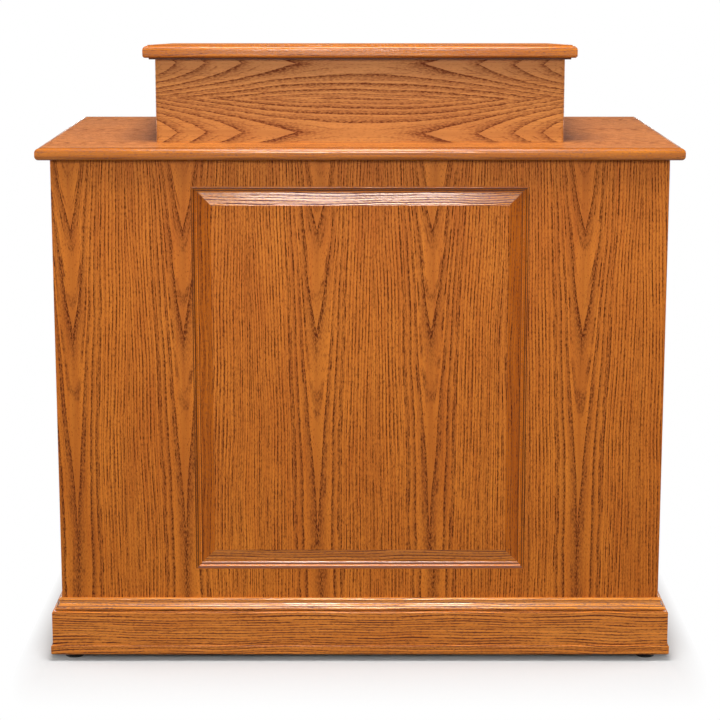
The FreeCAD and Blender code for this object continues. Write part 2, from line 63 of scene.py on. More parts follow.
# Room: white low down, dim above that and lighter overhead.
# Heights are the upward part of a ray's way.
ROOM_LEVEL = 0.14
CEILING_LEVEL = 0.40
HORIZON_HEIGHT = (0.06, 0.11)

# Floor: white at a distance. Near the lectern it is a grey matt that takes the lamps' real shadows
# and fades into the white, so its greyness there is painted shade as well. Of the shade: half the
# size of its full part, how fast it fades along each axis, and the distance at which it ends.
FLOOR_HALF = 600.0
FLOOR_SHADE_HALF = (0.61, 0.36, 0.0)
FLOOR_SHADE_PACE = (4.0, 1.0, 1.0)
FLOOR_SHADE_FAR = 0.25
FLOOR_WHITE = "#C2C2C2"
FLOOR_GREY = "#484848"


def linear(hex_colour):
    """An sRGB hex colour as linear RGBA."""
    channels = [int(hex_colour[i:i + 2], 16) / 255 for i in (1, 3, 5)]
    return [c / 12.92 if c <= 0.04045 else ((c + 0.055) / 1.055) ** 2.4 for c in channels] + [1.0]


def add(tree, kind, inputs=(), **settings):
    """Adds a node. Of its inputs, by number or name, a node or socket is linked, a value is set."""
    node = tree.nodes.new(kind)
    for name, value in settings.items():
        setattr(node, name, value)
    for key, value in inputs.items() if isinstance(inputs, dict) else enumerate(inputs):
        if isinstance(value, bpy.types.Node):
            value = value.outputs[0]
        if isinstance(value, bpy.types.NodeSocket):
            tree.links.new(value, node.inputs[key])
        else:
            node.inputs[key].default_value = value
    return node


def new_material(name):
    """A material with an empty tree."""
    material = bpy.data.materials.new(name)
    material.use_nodes = True
    material.node_tree.nodes.clear()
    return material, material.node_tree


# Wood

# Oak, sliced for veneer, stained golden brown and lacquered: the eye sees dark lines of open pores
# along the year rings, V shapes where a leaf is cut through them, and a satin gloss. The pores are
# drawn about 2 mm wide, far coarser than real, so that they show in the render.
OAK = {
    "light": "#CE7827",
    "middle": "#B9641E",
    "dark": "#521D05",
    # Width of a year ring, and the part of a ring that a leaf's middle starts with.
    "ring_mm": 4.1,
    "first_ring": 0.86,
    # Each pair: at a leaf's middle and away from it.
    "fade": (3.6, 2.4),
    "line_strength": (1.5, 0.95),
    "between_depth": (0.85, 0.0),
    "stripe_depth": (0.80, 1.45),
    "core_depth": (0.30, 0.04),
    # Share of the stripes that is left at a leaf's middle.
    "core_stripe": 0.9,
    # How far the rings swing to each side.
    "wander_mm": 7.0,
    "tremble_mm": 0.8,
    # Tips of the V shapes, and how uneven the rings are in width.
    "tip_mm": 6.0,
    "tip_sharpness": 0.18,
    "uneven": 0.7,
    # Each pair: the distances from a leaf's middle over which the change is made.
    "tip_reach_mm": (2.0, 18.0),
    "clear_mm": (6.0, 22.0),
    "even_mm": (8.0, 62.0),
    # Most rings that the slope crosses. Where it is 0, the stripes don't lean with the rings.
    "highest_climb": 3.3,
    "stripe_mm": 5.5,
    "dash_mm": 50.0,
    # Depth of colour in the lines, between pores and in them, and of the pores elsewhere.
    "line_depth": (0.50, 1.1),
    "pore_depth": 0.62,
    # Width and length in mm, and fineness, of each pattern of spots.
    "patterns": {
        "wander": (95.0, 260.0, 1.5),
        "tremble": (3.0, 24.0, 2.0),
        "pores": (1.9, 6.5, 2.0),
        "streaks": (6.0, 150.0, 3.0),
        "clouds": (70.0, 320.0, 2.0),
    },
}
# Oak veneer with level grain: V shapes from both ends, and straight stripes. On the riser it is
# paler, and the lines come closer to a leaf's middle.
LEVEL_OAK = {**OAK, "light": "#CE7C2E", "middle": "#B96924", "highest_climb": 0.0}
RISER_OAK = {
    **LEVEL_OAK,
    "light": "#C47F37",
    "middle": "#B26E2B",
    "dark": "#602604",
    "first_ring": 0.60,
    "fade": (3.0, 1.9),
    "line_strength": (1.35, 1.35),
    "between_depth": (0.75, 0.85),
    "stripe_depth": (0.5, 0.75),
    "clear_mm": (1.0, 8.0),
    "tremble_mm": 1.3,
    "line_depth": (0.6, 1.2),
    "pore_depth": 0.5,
}

# Oak, sawn and planed, stained and polished: straight fine stripes and few rings, so the gloss
# shows more than the figure.
SOLID_OAK = {
    **OAK,
    "light": "#DA8636",
    "middle": "#C57027",
    "ring_mm": 12.0,
    "line_strength": (0.8, 0.8),
    "stripe_depth": (1.9, 1.9),
    "stripe_mm": 5.2,
    "dash_mm": 90.0,
    "tremble_mm": 0.4,
    "wander_mm": 13.0,
}
# Painted light: the panel's top and bottom bevels get a lighter oak than the rest, standing in for
# the light that falls on them.
LIT_BEVEL_OAK = {**SOLID_OAK, "light": "#D8842F", "middle": "#C27026", "stripe_depth": (2.2, 2.2)}
# Painted light: the base cap gets a lighter oak than the plinth below it, standing in for the light
# that falls on its upward-facing rounds.
LIT_CAP_OAK = {**SOLID_OAK, "light": "#EC9840", "middle": "#DA842E", "stripe_depth": (0.9, 0.9)}
# Painted shade: the desk and lid edges get a darker oak than the rest, standing in for the shade on
# their lower rounds.
SHADED_EDGE_OAK = {**SOLID_OAK, "light": "#BC6E22", "middle": "#A65A19", "stripe_depth": (0.8, 0.8)}
# Painted shade: the side bevels and lippings, which face sideways, get a darker oak, standing in for
# the shade on faces turned away from the lights.
SHADED_UPRIGHT_OAK = {**SOLID_OAK, "light": "#BC671B", "middle": "#A25211", "stripe_depth": (1.1, 1.1)}
MOULDING_OAK = {**SOLID_OAK, "light": "#D27A28", "middle": "#BE661F", "stripe_depth": (0.5, 0.5)}

# Pine, sawn: raw, it is pale yellow with soft brown rings, and stained, it comes near the oak.
PINE = {
    **SOLID_OAK,
    "light": "#E0BC84",
    "middle": "#D0A364",
    "dark": "#9C6230",
    "ring_mm": 9.0,
    "line_strength": (0.5, 0.5),
    "stripe_depth": (0.6, 0.6),
    "stripe_mm": 7.0,
    "pore_depth": 0.1,
}
STAINED_PINE = {**PINE, "light": "#C68239", "middle": "#B26E2A", "dark": "#6E3410"}

# Beech, turned: pinkish tan, full of short dark flecks.
BEECH = {
    **SOLID_OAK,
    "light": "#DDB98F",
    "middle": "#D0A578",
    "dark": "#8F5A34",
    "line_strength": (0.1, 0.1),
    "stripe_depth": (0.2, 0.2),
    "pore_depth": 0.6,
}

# Lacquer: roughness and specular level.
SATIN = (0.32, 0.13)
HAZY = (0.34, 0.32)
RUBBED = (0.28, 0.22)
BRUSHED = (0.15, 0.20)
POLISHED = (0.07, 0.36)
EDGE_POLISH = (0.07, 0.31)
CAP_POLISH = (0.06, 0.48)
BEVEL_POLISH = (0.06, 0.27)
LID_POLISH = (0.05, 0.21)
UPRIGHT_POLISH = (0.15, 0.13)
FLATTED = (0.65, 0.08)
RAW = (0.60, 0.25)

# Open pores: added roughness, and the dent that they leave.
PORE_ROUGHNESS = 0.5
PORE_DENT = 0.3
PORE_DENT_MM = 0.2
# Spots of the pore pattern that count as pores, in the dark lines and elsewhere.
PORES_IN_LINES = (0.38, 0.60)
PORES_ELSEWHERE = (0.54, 0.68)
# Fineness with which rings and stripes change in width.
CHANGE_DETAIL = 1.0
# Rings: how fast their widths change, their weakest and strongest, and how fast finer lines fade.
RING_CHANGE = 0.7
RING_STRENGTH = (0.7, 1.0)
BETWEEN_FADE = 4.0
# Stripes: how fast and how far they shift, where their flank lies between two middles, and the
# distance in the dash pattern from one stripe to the next and across a mm of one stripe.
STRIPE_CHANGE = 0.6
STRIPE_SHIFT = 0.9
STRIPE_FLANK = (0.31, 0.41)
STRIPE_APART = 7.3
STRIPE_DRIFT = 0.02
# Dashes: fineness, spots that count, and depth of colour between dashes and in them.
DASH_DETAIL = 2.0
DASH_SPOTS = (0.36, 0.60)
DASH_DEPTH = (0.30, 1.0)
# Streaks and clouds together: from the light tone to the middle one.
TONE_SPOTS = (0.7, 1.3)
# Farther than any place on the lectern.
FAR_OFF_MM = 10000.0

# Painted shade: a dark brown laid along the quirks, steps and undercut of the mouldings, standing in
# for the shadow that falls in them.
GROOVE_SHADE = "#3C1402"
GROOVE_SHADE_DEPTH = 0.82


def grain_patterns(tree, kind, board):
    """The wood's patterns of spots, drawn out along the grain."""
    spots = {}
    for pattern, (width, length, detail) in kind["patterns"].items():
        point = add(tree, "ShaderNodeVectorMath", [board, (1 / width, 1 / length, 1 / width)],
                    operation="MULTIPLY")
        spots[pattern] = add(tree, "ShaderNodeTexNoise",
                             {"Vector": point, "Scale": 1.0, "Detail": detail})
    return spots


def swing(tree, kind, spots, pattern):
    """A pattern as a swing of so many mm to each side."""
    reach = kind[pattern + "_mm"]
    return add(tree, "ShaderNodeMath", [spots[pattern], 2 * reach, -reach],
               operation="MULTIPLY_ADD")


def leaf_distance(tree, side, leaves):
    """Distance from the middle of the nearest leaf."""
    nearest = FAR_OFF_MM
    for middle in leaves:
        distance = add(tree, "ShaderNodeMath", [side, middle], operation="SUBTRACT")
        distance = add(tree, "ShaderNodeMath", [distance], operation="ABSOLUTE")
        nearest = add(tree, "ShaderNodeMath", [nearest, distance], operation="MINIMUM")
    return nearest


def ring_climb(tree, rise, along):
    """How many rings the slope along the grain has crossed."""
    level, slope, growth = rise
    run = add(tree, "ShaderNodeMath", [along, level], operation="SUBTRACT")
    climb = add(tree, "ShaderNodeMath", [run, growth, slope], operation="MULTIPLY_ADD")
    return add(tree, "ShaderNodeMath", [climb, run], operation="MULTIPLY")


def ring_count(tree, kind, pith, radius, climb, off):
    """Number of the year ring, with the climb, sharp tips and uneven widths."""
    start = kind["first_ring"] - pith / kind["ring_mm"]
    count = add(tree, "ShaderNodeMath", [radius, 1 / kind["ring_mm"], start],
                operation="MULTIPLY_ADD")
    count = add(tree, "ShaderNodeMath", [count, climb], operation="SUBTRACT")
    tip = add(tree, "ShaderNodeMath", [off, -kind["tip_mm"]], operation="DIVIDE")
    tip = add(tree, "ShaderNodeMath", [tip], operation="EXPONENT")
    count = add(tree, "ShaderNodeMath", [tip, -kind["tip_sharpness"], count],
                operation="MULTIPLY_ADD")
    width = add(tree, "ShaderNodeTexNoise",
                {"W": count, "Scale": RING_CHANGE, "Detail": CHANGE_DETAIL},
                noise_dimensions="1D")
    width = add(tree, "ShaderNodeMath", [width, kind["uneven"], -kind["uneven"] / 2],
                operation="MULTIPLY_ADD")
    out = add(tree, "ShaderNodeMapRange", [off, *kind["even_mm"], 0.0, 1.0],
              interpolation_type="SMOOTHSTEP")
    return add(tree, "ShaderNodeMath", [width, out, count], operation="MULTIPLY_ADD")


def early_wood(tree, kind, count, off):
    """Dark lines with a sharp start that then fade. Each ring has its own strength."""
    part = add(tree, "ShaderNodeMath", [count], operation="FRACT")
    fade = add(tree, "ShaderNodeMapRange", [off, *kind["tip_reach_mm"], *kind["fade"]])
    fade = add(tree, "ShaderNodeMath", [fade, -1.0], operation="MULTIPLY")
    early = add(tree, "ShaderNodeMath", [part, fade], operation="MULTIPLY")
    early = add(tree, "ShaderNodeMath", [early], operation="EXPONENT")
    ring = add(tree, "ShaderNodeMath", [count], operation="FLOOR")
    strength = add(tree, "ShaderNodeTexWhiteNoise", {"W": ring}, noise_dimensions="1D")
    strength = add(tree, "ShaderNodeMapRange", [strength, 0.0, 1.0, *RING_STRENGTH])
    early = add(tree, "ShaderNodeMath", [early, strength], operation="MULTIPLY")
    strength = add(tree, "ShaderNodeMapRange", [off, *kind["even_mm"], *kind["line_strength"]])
    return add(tree, "ShaderNodeMath", [early, strength], operation="MULTIPLY", use_clamp=True)


def lines_between(tree, kind, count, off):
    """Finer lines at each ring's start and halfway to the next, clear of a leaf's middle."""
    halves = add(tree, "ShaderNodeMath", [count, 2.0], operation="MULTIPLY")
    part = add(tree, "ShaderNodeMath", [halves], operation="FRACT")
    line = add(tree, "ShaderNodeMath", [part, -BETWEEN_FADE], operation="MULTIPLY")
    line = add(tree, "ShaderNodeMath", [line], operation="EXPONENT")
    depth = add(tree, "ShaderNodeMapRange", [off, *kind["even_mm"], *kind["between_depth"]])
    line = add(tree, "ShaderNodeMath", [line, depth], operation="MULTIPLY")
    clear = add(tree, "ShaderNodeMapRange", [off, *kind["clear_mm"], 0.0, 1.0])
    return add(tree, "ShaderNodeMath", [line, clear], operation="MULTIPLY")


def leaning_lanes(tree, kind, pith, climb, even):
    """Distance across the leaf that stays the same along a ring's slope."""
    lean = 2 * pith * kind["ring_mm"]
    lane = add(tree, "ShaderNodeMath", [climb, -lean, lean * kind["highest_climb"]],
               operation="MULTIPLY_ADD")
    lane = add(tree, "ShaderNodeMath", [even, even, lane], operation="MULTIPLY_ADD")
    return add(tree, "ShaderNodeMath", [lane], operation="SQRT")


def fine_stripes(tree, kind, lane, side, along, off):
    """Fine stripes of uneven width along the lanes, each with its own dashes."""
    stripe = add(tree, "ShaderNodeMath", [lane, 1 / kind["stripe_mm"]], operation="MULTIPLY")
    shift = add(tree, "ShaderNodeTexNoise",
                {"W": stripe, "Scale": STRIPE_CHANGE, "Detail": CHANGE_DETAIL},
                noise_dimensions="1D")
    stripe = add(tree, "ShaderNodeMath", [shift, STRIPE_SHIFT, stripe], operation="MULTIPLY_ADD")
    number = add(tree, "ShaderNodeMath", [stripe], operation="FLOOR")
    number = add(tree, "ShaderNodeMath", [number, STRIPE_APART], operation="MULTIPLY")
    number = add(tree, "ShaderNodeMath", [side, STRIPE_DRIFT, number], operation="MULTIPLY_ADD")
    run = add(tree, "ShaderNodeMath", [along, 1 / kind["dash_mm"]], operation="MULTIPLY")
    dash = add(tree, "ShaderNodeCombineXYZ", [number, run])
    dash = add(tree, "ShaderNodeTexNoise", {"Vector": dash, "Scale": 1.0, "Detail": DASH_DETAIL},
               noise_dimensions="2D")
    dash = add(tree, "ShaderNodeMapRange", [dash, *DASH_SPOTS, *DASH_DEPTH])
    depth = add(tree, "ShaderNodeMapRange", [off, *kind["even_mm"], *kind["stripe_depth"]])
    stripe = add(tree, "ShaderNodeMath", [stripe, 0.5], operation="PINGPONG")
    stripe = add(tree, "ShaderNodeMapRange", [stripe, *STRIPE_FLANK, 0.0, depth])
    stripe = add(tree, "ShaderNodeMath", [stripe, dash], operation="MULTIPLY")
    clear = add(tree, "ShaderNodeMapRange", [off, *kind["clear_mm"], kind["core_stripe"], 1.0])
    return add(tree, "ShaderNodeMath", [stripe, clear], operation="MULTIPLY")


def wood(name, kind, along, across, leaves, pith, rise=(0.0, 0.0, 0.0), solid=False,
         lacquer=SATIN, grooves=(), face=None):
    """Wood whose year rings are shells round a pith line along the grain.

    along and across are the axes of the board's face. leaves are the middles of its leaves and
    pith is the depth of the pith line, in mm. rise says where the rings run level along the grain,
    their slope there and its growth. In solid wood the rings go on through the thickness. For each
    groove given, the axis, place and reach in mm say where a dark brown is laid as painted shade,
    standing in for the shadow in it. Where face gives the depth of the board's face in mm, the lines
    also run down the board's edges.
    """
    material, tree = new_material(name)
    place = add(tree, "ShaderNodeTexCoord").outputs["Object"]
    place = add(tree, "ShaderNodeVectorMath", [place, (1 / MM,) * 3], operation="MULTIPLY")
    axes = add(tree, "ShaderNodeSeparateXYZ", [place]).outputs
    through = next(axis for axis in "XYZ" if axis not in (along, across))
    board = add(tree, "ShaderNodeCombineXYZ", [axes[across], axes[along], axes[through]])
    spots = grain_patterns(tree, kind, board)

    # Place across the leaves, and the distance from the nearest leaf's middle: with a slow wander
    # in even, and a fine tremble too in off.
    wander = swing(tree, kind, spots, "wander")
    side = add(tree, "ShaderNodeMath", [axes[across], wander], operation="ADD")
    if face is not None:
        inward = add(tree, "ShaderNodeMath", [axes[through], face], operation="SUBTRACT")
        side = add(tree, "ShaderNodeMath", [side, inward], operation="ADD")
    even = leaf_distance(tree, side, leaves)
    tremble = swing(tree, kind, spots, "tremble")
    off = add(tree, "ShaderNodeMath", [even, tremble], operation="ADD")
    off = add(tree, "ShaderNodeMath", [off], operation="ABSOLUTE")

    # Year rings.
    depth = pith
    if solid:
        depth = add(tree, "ShaderNodeMath", [axes[through], pith], operation="ADD")
    shell = add(tree, "ShaderNodeCombineXYZ", [off, depth])
    radius = add(tree, "ShaderNodeVectorMath", [shell], operation="LENGTH").outputs["Value"]
    climb = ring_climb(tree, rise, axes[along])
    count = ring_count(tree, kind, pith, radius, climb, off)
    early = early_wood(tree, kind, count, off)
    between = lines_between(tree, kind, count, off)
    early = add(tree, "ShaderNodeMath", [early, between], operation="MAXIMUM")

    # Fine stripes, which lean with the rings on leaves with a steep slope.
    lane = side
    if solid:
        lane = radius
    elif kind["highest_climb"]:
        lane = leaning_lanes(tree, kind, pith, climb, even)
    stripe = fine_stripes(tree, kind, lane, side, axes[along], off)

    # Pores: short dashes along the grain, thick in the lines and thin elsewhere.
    in_lines = add(tree, "ShaderNodeMapRange",
                   [spots["pores"], *PORES_IN_LINES, *kind["line_depth"]])
    lines = add(tree, "ShaderNodeMath", [early, stripe], operation="MAXIMUM")
    lines = add(tree, "ShaderNodeMath", [lines, in_lines], operation="MULTIPLY")
    all_over = add(tree, "ShaderNodeMapRange",
                   [spots["pores"], *PORES_ELSEWHERE, 0.0, kind["pore_depth"]])
    darkness = add(tree, "ShaderNodeMath", [lines, all_over], operation="MAXIMUM")
    core = add(tree, "ShaderNodeMapRange", [off, *kind["tip_reach_mm"], *kind["core_depth"]])
    darkness = add(tree, "ShaderNodeMath", [darkness, core], operation="MAXIMUM")

    # Colour: the light and middle tones in streaks and clouds, the dark one on them, then painted
    # shade in each groove.
    tone = add(tree, "ShaderNodeMath", [spots["streaks"], spots["clouds"]], operation="ADD")
    tone = add(tree, "ShaderNodeMapRange", [tone, *TONE_SPOTS, 0.0, 1.0])
    ground = add(tree, "ShaderNodeMix",
                 {0: tone, 6: linear(kind["light"]), 7: linear(kind["middle"])},
                 data_type="RGBA").outputs[2]
    colour = add(tree, "ShaderNodeMix", {0: darkness, 6: ground, 7: linear(kind["dark"])},
                 data_type="RGBA").outputs[2]
    # Painted shade: a dark brown laid along each groove, standing in for the shadow that falls in
    # it.
    for axis, groove, reach in grooves:
        near = add(tree, "ShaderNodeMath", [axes[axis], groove], operation="SUBTRACT")
        near = add(tree, "ShaderNodeMath", [near], operation="ABSOLUTE")
        painted_shade = add(tree, "ShaderNodeMapRange", [near, reach / 2, reach, GROOVE_SHADE_DEPTH, 0.0])
        colour = add(tree, "ShaderNodeMix", {0: painted_shade, 6: colour, 7: linear(GROOVE_SHADE)},
                     data_type="RGBA").outputs[2]
        darkness = add(tree, "ShaderNodeMath", [darkness, painted_shade], operation="MAXIMUM")

    # Lacquer, rougher and lower in what is dark.
    roughness, gloss = lacquer
    rough = add(tree, "ShaderNodeMapRange",
                [darkness, 0.0, 1.0, roughness, roughness + PORE_ROUGHNESS])
    height = add(tree, "ShaderNodeMath", [1.0, darkness], operation="SUBTRACT")
    bump = add(tree, "ShaderNodeBump",
               {"Strength": PORE_DENT, "Distance": PORE_DENT_MM * MM, "Height": height})
    shader = add(tree, "ShaderNodeBsdfPrincipled",
                 {"Base Color": colour, "Roughness": rough, "Normal": bump,
                  "Specular IOR Level": gloss})
    add(tree, "ShaderNodeOutputMaterial", {"Surface": shader})
    return material


# Solid pieces by the way of their grain: the axis across, and the pith's place and depth in mm.
PITH_LINES = {
    "X": ("Z", -900.0, 700.0),
    "Y": ("Z", -900.0, 1200.0),
    "Z": ("X", -2000.0, 900.0),
}


def solid_wood(name, kind, along, lacquer, grooves=()):
    """Wood of a piece that is sawn from the solid."""
    across, middle, pith = PITH_LINES[along]
    return wood(name, kind, along, across, (middle,), pith, solid=True, lacquer=lacquer,
                grooves=grooves)


# Veneers: middles of the leaves and depth of the pith in mm, and the rings' rise along the grain.
FRONT_LEAVES = (-550.0, -337.0, -76.0, 143.0, 425.0, 640.0)
SIDE_LEAVES = (-330.0, -110.0, 115.0, 335.0)
LEVEL_LEAVES = (-260.0, 20.0, 265.0)
RISER_LEAF_INSETS = (18.0, 9.0)
LEAF_PITH = 100.0
UPRIGHT_RISE = (450.0, 0.00247, 4.35e-6)
LEVEL_RISE = (0.0, 0.0, 1 / 36000)

riser_low, riser_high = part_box("riser_front")
riser_leaves = (riser_low.z / MM + RISER_LEAF_INSETS[0], riser_high.z / MM - RISER_LEAF_INSETS[1])

front_oak = wood("sliced_oak_veneer_front", OAK, "Z", "X", FRONT_LEAVES, LEAF_PITH, UPRIGHT_RISE,
                 face=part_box("left_stile")[0].y / MM)
side_oak = wood("sliced_oak_veneer_side", OAK, "Z", "Y", SIDE_LEAVES, LEAF_PITH, UPRIGHT_RISE)
level_oak = wood("sliced_oak_veneer_level", LEVEL_OAK, "X", "Y", LEVEL_LEAVES, LEAF_PITH,
                 LEVEL_RISE, lacquer=HAZY)
lid_oak = wood("sliced_oak_veneer_lid", LEVEL_OAK, "X", "Y", LEVEL_LEAVES, LEAF_PITH,
               LEVEL_RISE, lacquer=FLATTED)
riser_oak = wood("sliced_oak_veneer_riser", RISER_OAK, "X", "Z", riser_leaves, LEAF_PITH,
                 LEVEL_RISE, lacquer=RUBBED)
riser_side_oak = wood("sliced_oak_veneer_riser_side", RISER_OAK, "Y", "Z", riser_leaves, LEAF_PITH,
                      LEVEL_RISE, lacquer=RUBBED)

# Painted shade along grooves, standing in for the shadow in them, each as place and reach in mm:
# the panel moulding's in from its outer edge, the base cap's down from its top, and the lid edge's
# step up from its foot.
UPRIGHT_SHADED_GROOVES = ((0.6, 1.6), (4.6, 1.4), (11.6, 1.2))
LEVEL_SHADED_GROOVES = ((3.7, 1.7), (9.0, 1.5))
CAP_SHADED_GROOVE = (15.6, 0.7)
LID_STEP_SHADE = (1.5, 3.5)

moulding_low, moulding_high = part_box("panel_moulding_left")[0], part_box("panel_moulding_right")[1]
upright_shaded_grooves = [("X", edge + way * inset, reach) for inset, reach in UPRIGHT_SHADED_GROOVES
                   for edge, way in ((moulding_low.x / MM, 1), (moulding_high.x / MM, -1))]
level_shaded_grooves = [("Z", edge + way * inset, reach) for inset, reach in LEVEL_SHADED_GROOVES
                 for edge, way in ((moulding_low.z / MM, 1), (moulding_high.z / MM, -1))]
cap_shaded_groove = ("Z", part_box("base_cap_front")[1].z / MM - CAP_SHADED_GROOVE[0], CAP_SHADED_GROOVE[1])
lid_step_shade = ("Z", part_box("lid_edge_front")[0].z / MM + LID_STEP_SHADE[0], LID_STEP_SHADE[1])

edge_x = solid_wood("polished_shaded_edge_oak_along_x", SHADED_EDGE_OAK, "X", EDGE_POLISH)
edge_y = solid_wood("polished_shaded_edge_oak_along_y", SHADED_EDGE_OAK, "Y", EDGE_POLISH)
lid_front = solid_wood("polished_shaded_oak_lid_front", SHADED_EDGE_OAK, "X", LID_POLISH, [lid_step_shade])
bevel_x = solid_wood("bevelled_lit_oak_along_x", LIT_BEVEL_OAK, "X", BEVEL_POLISH)
oak_x = solid_wood("brushed_oak_along_x", SOLID_OAK, "X", BRUSHED)
oak_y = solid_wood("brushed_oak_along_y", SOLID_OAK, "Y", BRUSHED)
oak_z = solid_wood("brushed_shaded_oak_along_z", SHADED_UPRIGHT_OAK, "Z", UPRIGHT_POLISH)
moulding_x = solid_wood("moulded_oak_shaded_in_grooves_along_x", MOULDING_OAK, "X", POLISHED, level_shaded_grooves)
moulding_z = solid_wood("moulded_oak_shaded_in_grooves_along_z", MOULDING_OAK, "Z", UPRIGHT_POLISH, upright_shaded_grooves)
cap_x = solid_wood("polished_cap_oak_lit_and_shaded_along_x", LIT_CAP_OAK, "X", CAP_POLISH, [cap_shaded_groove])
cap_y = solid_wood("polished_cap_oak_lit_and_shaded_along_y", LIT_CAP_OAK, "Y", CAP_POLISH, [cap_shaded_groove])
pine_x = solid_wood("sawn_pine_along_x", PINE, "X", RAW)
pine_y = solid_wood("sawn_pine_along_y", PINE, "Y", RAW)
pine_z = solid_wood("sawn_pine_along_z", PINE, "Z", RAW)
stained_pine = solid_wood("stained_pine_along_x", STAINED_PINE, "X", SATIN)
beech = solid_wood("turned_beech", BEECH, "X", RAW)


# Metal and plastic

# Grain: spots that count, fineness and depth of its bump.
GRAIN_SPOTS = (0.35, 0.65)
GRAIN_DETAIL = 3.0
GRAIN_BUMP = 0.5


def grained(name, tones, grain_mm, roughness, metallic, relief_mm):
    """Metal or plastic with a fine even grain in its colour, gloss and surface."""
    material, tree = new_material(name)
    place = add(tree, "ShaderNodeTexCoord").outputs["Object"]
    grain = add(tree, "ShaderNodeTexNoise",
                {"Vector": place, "Scale": 1 / (grain_mm * MM), "Detail": GRAIN_DETAIL})
    spread = add(tree, "ShaderNodeMapRange", [grain, *GRAIN_SPOTS, 0.0, 1.0])
    colour = add(tree, "ShaderNodeMix", {0: spread, 6: linear(tones[0]), 7: linear(tones[1])},
                 data_type="RGBA").outputs[2]
    rough = add(tree, "ShaderNodeMapRange", [grain, *GRAIN_SPOTS, *roughness])
    bump = add(tree, "ShaderNodeBump",
               {"Strength": GRAIN_BUMP, "Distance": relief_mm * MM, "Height": grain})
    shader = add(tree, "ShaderNodeBsdfPrincipled",
                 {"Base Color": colour, "Roughness": rough, "Normal": bump, "Metallic": metallic})
    add(tree, "ShaderNodeOutputMaterial", {"Surface": shader})
    return material


# Steel, zinc plated: bright bluish grey with a faint cloudy grain, drawn 2 mm wide to show.
steel = grained("zinc_plated_steel", ("#C3C8CC", "#A9AEB4"), grain_mm=2.0, roughness=(0.22, 0.40),
                metallic=1.0, relief_mm=0.02)
# Nylon, moulded: black with a dull fine-pitted skin, its pits drawn 1.5 mm wide to show.
nylon = grained("moulded_black_nylon", ("#121212", "#222222"), grain_mm=1.5,
                roughness=(0.40, 0.58), metallic=0.0, relief_mm=0.06)


# Finishes of the solids

FOOT_CORNERS = ("front_left", "front_right", "back_left", "back_right")
FINISHES = {
    "left_stile": front_oak, "right_stile": front_oak, "panel_field": front_oak,
    "top_rail": front_oak, "bottom_rail": front_oak,
    "left_side": side_oak, "right_side": side_oak,
    "desk_board": level_oak, "shelf_board": level_oak, "floor_board": level_oak,
    "lid_board": lid_oak,
    "riser_front": riser_oak, "riser_left": riser_side_oak, "riser_right": riser_side_oak,
    "desk_edge_front": edge_x, "desk_edge_back": edge_x,
    "desk_edge_left": edge_y, "desk_edge_right": edge_y,
    "lid_edge_front": lid_front, "lid_edge_back": edge_x,
    "lid_edge_left": edge_y, "lid_edge_right": edge_y,
    "panel_moulding_top": moulding_x, "panel_moulding_bottom": moulding_x,
    "panel_moulding_left": moulding_z, "panel_moulding_right": moulding_z,
    "panel_bevel_top": bevel_x, "panel_bevel_bottom": bevel_x,
    "panel_bevel_left": oak_z, "panel_bevel_right": oak_z,
    "plinth_front": oak_x, "plinth_left": oak_y, "plinth_right": oak_y,
    "base_cap_front": cap_x, "base_cap_left": cap_y, "base_cap_right": cap_y,
    "side_lippings": oak_z, "floor_lipping": oak_x,
    "back_top_rail": oak_x, "shelf_nosing": oak_x,
    "base_rail_front": pine_x, "base_rail_back": stained_pine,
    "base_rail_left": pine_y, "base_rail_right": pine_y,
    "corner_battens": pine_z, "desk_cleats": pine_y, "riser_cleats": pine_y,
    "dowels": beech, "wood_screws": steel, "shelf_pins": steel, "foot_inserts": steel,
}
for corner in FOOT_CORNERS:
    FINISHES["foot_pad_" + corner] = nylon
    FINISHES["foot_stud_" + corner] = steel
for name, node in nodes.items():
    node.data.materials.clear()
    node.data.materials.append(FINISHES[name])


# Levelling studs: an M8 thread on a hexagon collar, over a spigot that turns in the pad.

THREAD_PITCH = 1.25 * MM
THREAD_RADIUS = 4.0 * MM
THREAD_DEPTH = 0.75 * MM
# Outline of one turn: the way out in depths and the rise in pitches of its root, flanks and crest.
THREAD_OUTLINE = ((0, 1 / 4), (1, 5 / 16), (0, 1 / 8), (-1, 5 / 16))
THREAD_STEPS = 24
THREAD_SPARE_TURNS = 2
THREAD_TAPER = 0.8
THREAD_TAPER_LENGTH = 1.0 * MM
COLLAR_SIDES = 6
COLLAR_FLATS = 13.0 * MM
COLLAR_HEIGHT = 3.7 * MM
COLLAR_EASE = 0.4 * MM
COLLAR_EASE_STEPS = 2
SPIGOT_RADIUS = 3.0 * MM
SPIGOT_LENGTH = 3.3 * MM
SPIGOT_SIDES = 32
SMOOTH_ANGLE = math.radians(35.0)
MERGE_DISTANCE = 0.001 * MM


